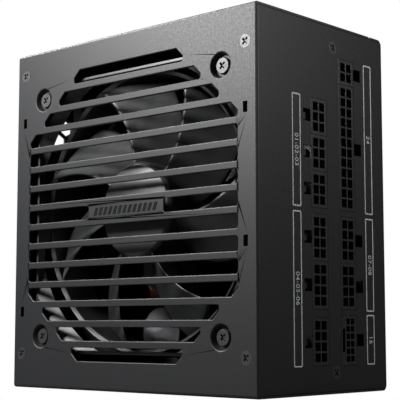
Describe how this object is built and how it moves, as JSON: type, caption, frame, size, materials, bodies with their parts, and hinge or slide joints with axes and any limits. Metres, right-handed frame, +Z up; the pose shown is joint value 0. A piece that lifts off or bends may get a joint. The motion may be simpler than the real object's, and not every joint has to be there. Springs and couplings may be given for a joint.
{
  "type": "computer power supply unit",
  "caption": "Boxed computer power supply with a slotted fan plate over a large fan, modular output sockets on one side and a mains inlet with a switch opposite.",
  "frame": {"origin": "under the middle of the case, on the surface that it stands on", "axes": "+Z up; the fan faces -Y, the modular sockets face +X and the mains panel faces -X"},
  "size_m": [0.14, 0.0862, 0.15],
  "materials": {
    "coated_steel": "fine matt black powder coat",
    "fan_plastic": "smooth satin black moulding",
    "socket_plastic": "satin black nylon",
    "screw_black": "black oxide",
    "plated_steel": "zinc plate",
    "tin_contacts": "tin plate",
    "gold_contacts": "flash gold",
    "copper": "lacquered copper",
    "board_laminate": "green solder mask",
    "ferrite": "sintered ferrite",
    "powder_core": "epoxy coated iron powder",
    "heatsink_metal": "bare extrusion",
    "capacitor_sleeve": "shrunk sleeve",
    "film_case": "moulded box",
    "ceramic_disc": "dipped epoxy",
    "chip_epoxy": "moulded epoxy",
    "transformer_tape": "polyester tape",
    "insulating_film": "white film",
    "fuse_body": "ceramic tube",
    "magnet_bond": "bonded magnet",
    "bearing_bronze": "sintered bronze",
    "live_insulation": "brown insulation",
    "neutral_insulation": "blue insulation",
    "earth_insulation": "green and yellow insulation",
    "fan_insulation": "black insulation",
    "connector_nylon": "natural nylon",
    "switch_plastic": "polished black",
    "label_film": "printed film"
  },
  "bodies": {
    "case": {"fan_cover": "coated_steel", "chassis_tray": "coated_steel", "flat_head_screws": "screw_black", "rating_label": "label_film", "fan_frame": "fan_plastic", "fan_bearing": "bearing_bronze", "stator_core": "plated_steel", "stator_coils": "copper", "motor_board": "board_laminate", "fan_screws": "screw_black", "four_pin_socket": "socket_plastic", "six_pin_sockets": "socket_plastic", "eight_pin_sockets": "socket_plastic", "twenty_four_pin_socket": "socket_plastic", "sixteen_pin_socket": "socket_plastic", "socket_pins": "gold_contacts", "socket_board": "board_laminate", "inlet_housing": "switch_plastic", "inlet_contacts": "tin_contacts", "switch_housing": "switch_plastic", "switch_terminals": "tin_contacts", "main_board": "board_laminate", "insulating_sheet": "insulating_film", "board_standoffs": "plated_steel", "line_filter_cores": "ferrite", "line_filter_windings": "copper", "x_capacitors": "film_case", "y_capacitors": "ceramic_disc", "mains_fuse": "fuse_body", "surge_varistor": "ceramic_disc", "inrush_thermistor": "chip_epoxy", "primary_heatsink": "heatsink_metal", "power_transistors": "chip_epoxy", "bridge_rectifier": "chip_epoxy", "bulk_capacitors": "capacitor_sleeve", "boost_choke_core": "powder_core", "boost_choke_winding": "copper", "main_transformer_core": "ferrite", "main_transformer_coil": "transformer_tape", "standby_transformer_core": "ferrite", "standby_transformer_coil": "transformer_tape", "secondary_heatsink": "heatsink_metal", "output_capacitors": "capacitor_sleeve", "converter_boards": "board_laminate", "converter_chokes": "ferrite", "controller_board": "board_laminate", "output_busbars": "copper", "live_leads": "live_insulation", "neutral_leads": "neutral_insulation", "earth_terminal": "tin_contacts", "board_screws": "plated_steel", "earth_lead": "earth_insulation", "fan_header": "connector_nylon", "fan_plug": "connector_nylon", "fan_lead": "fan_insulation"},
    "impeller": {"fan_impeller": "fan_plastic", "rotor_ring": "plated_steel", "rotor_magnet": "magnet_bond", "fan_shaft": "plated_steel"},
    "rocker": {"switch_rocker": "switch_plastic"}
  },
  "joints": [
    {"name": "fan_spin", "type": "hinge", "parent": "case", "child": "impeller", "pos_m": [0, -0.03, 0.075], "axis": [0, -1, 0], "continuous": true},
    {"name": "rocker_tilt", "type": "hinge", "parent": "case", "child": "rocker", "pos_m": [-0.0626, 0.014, 0.076], "axis": [0, -1, 0], "range_deg": [0, 20]}
  ]
}
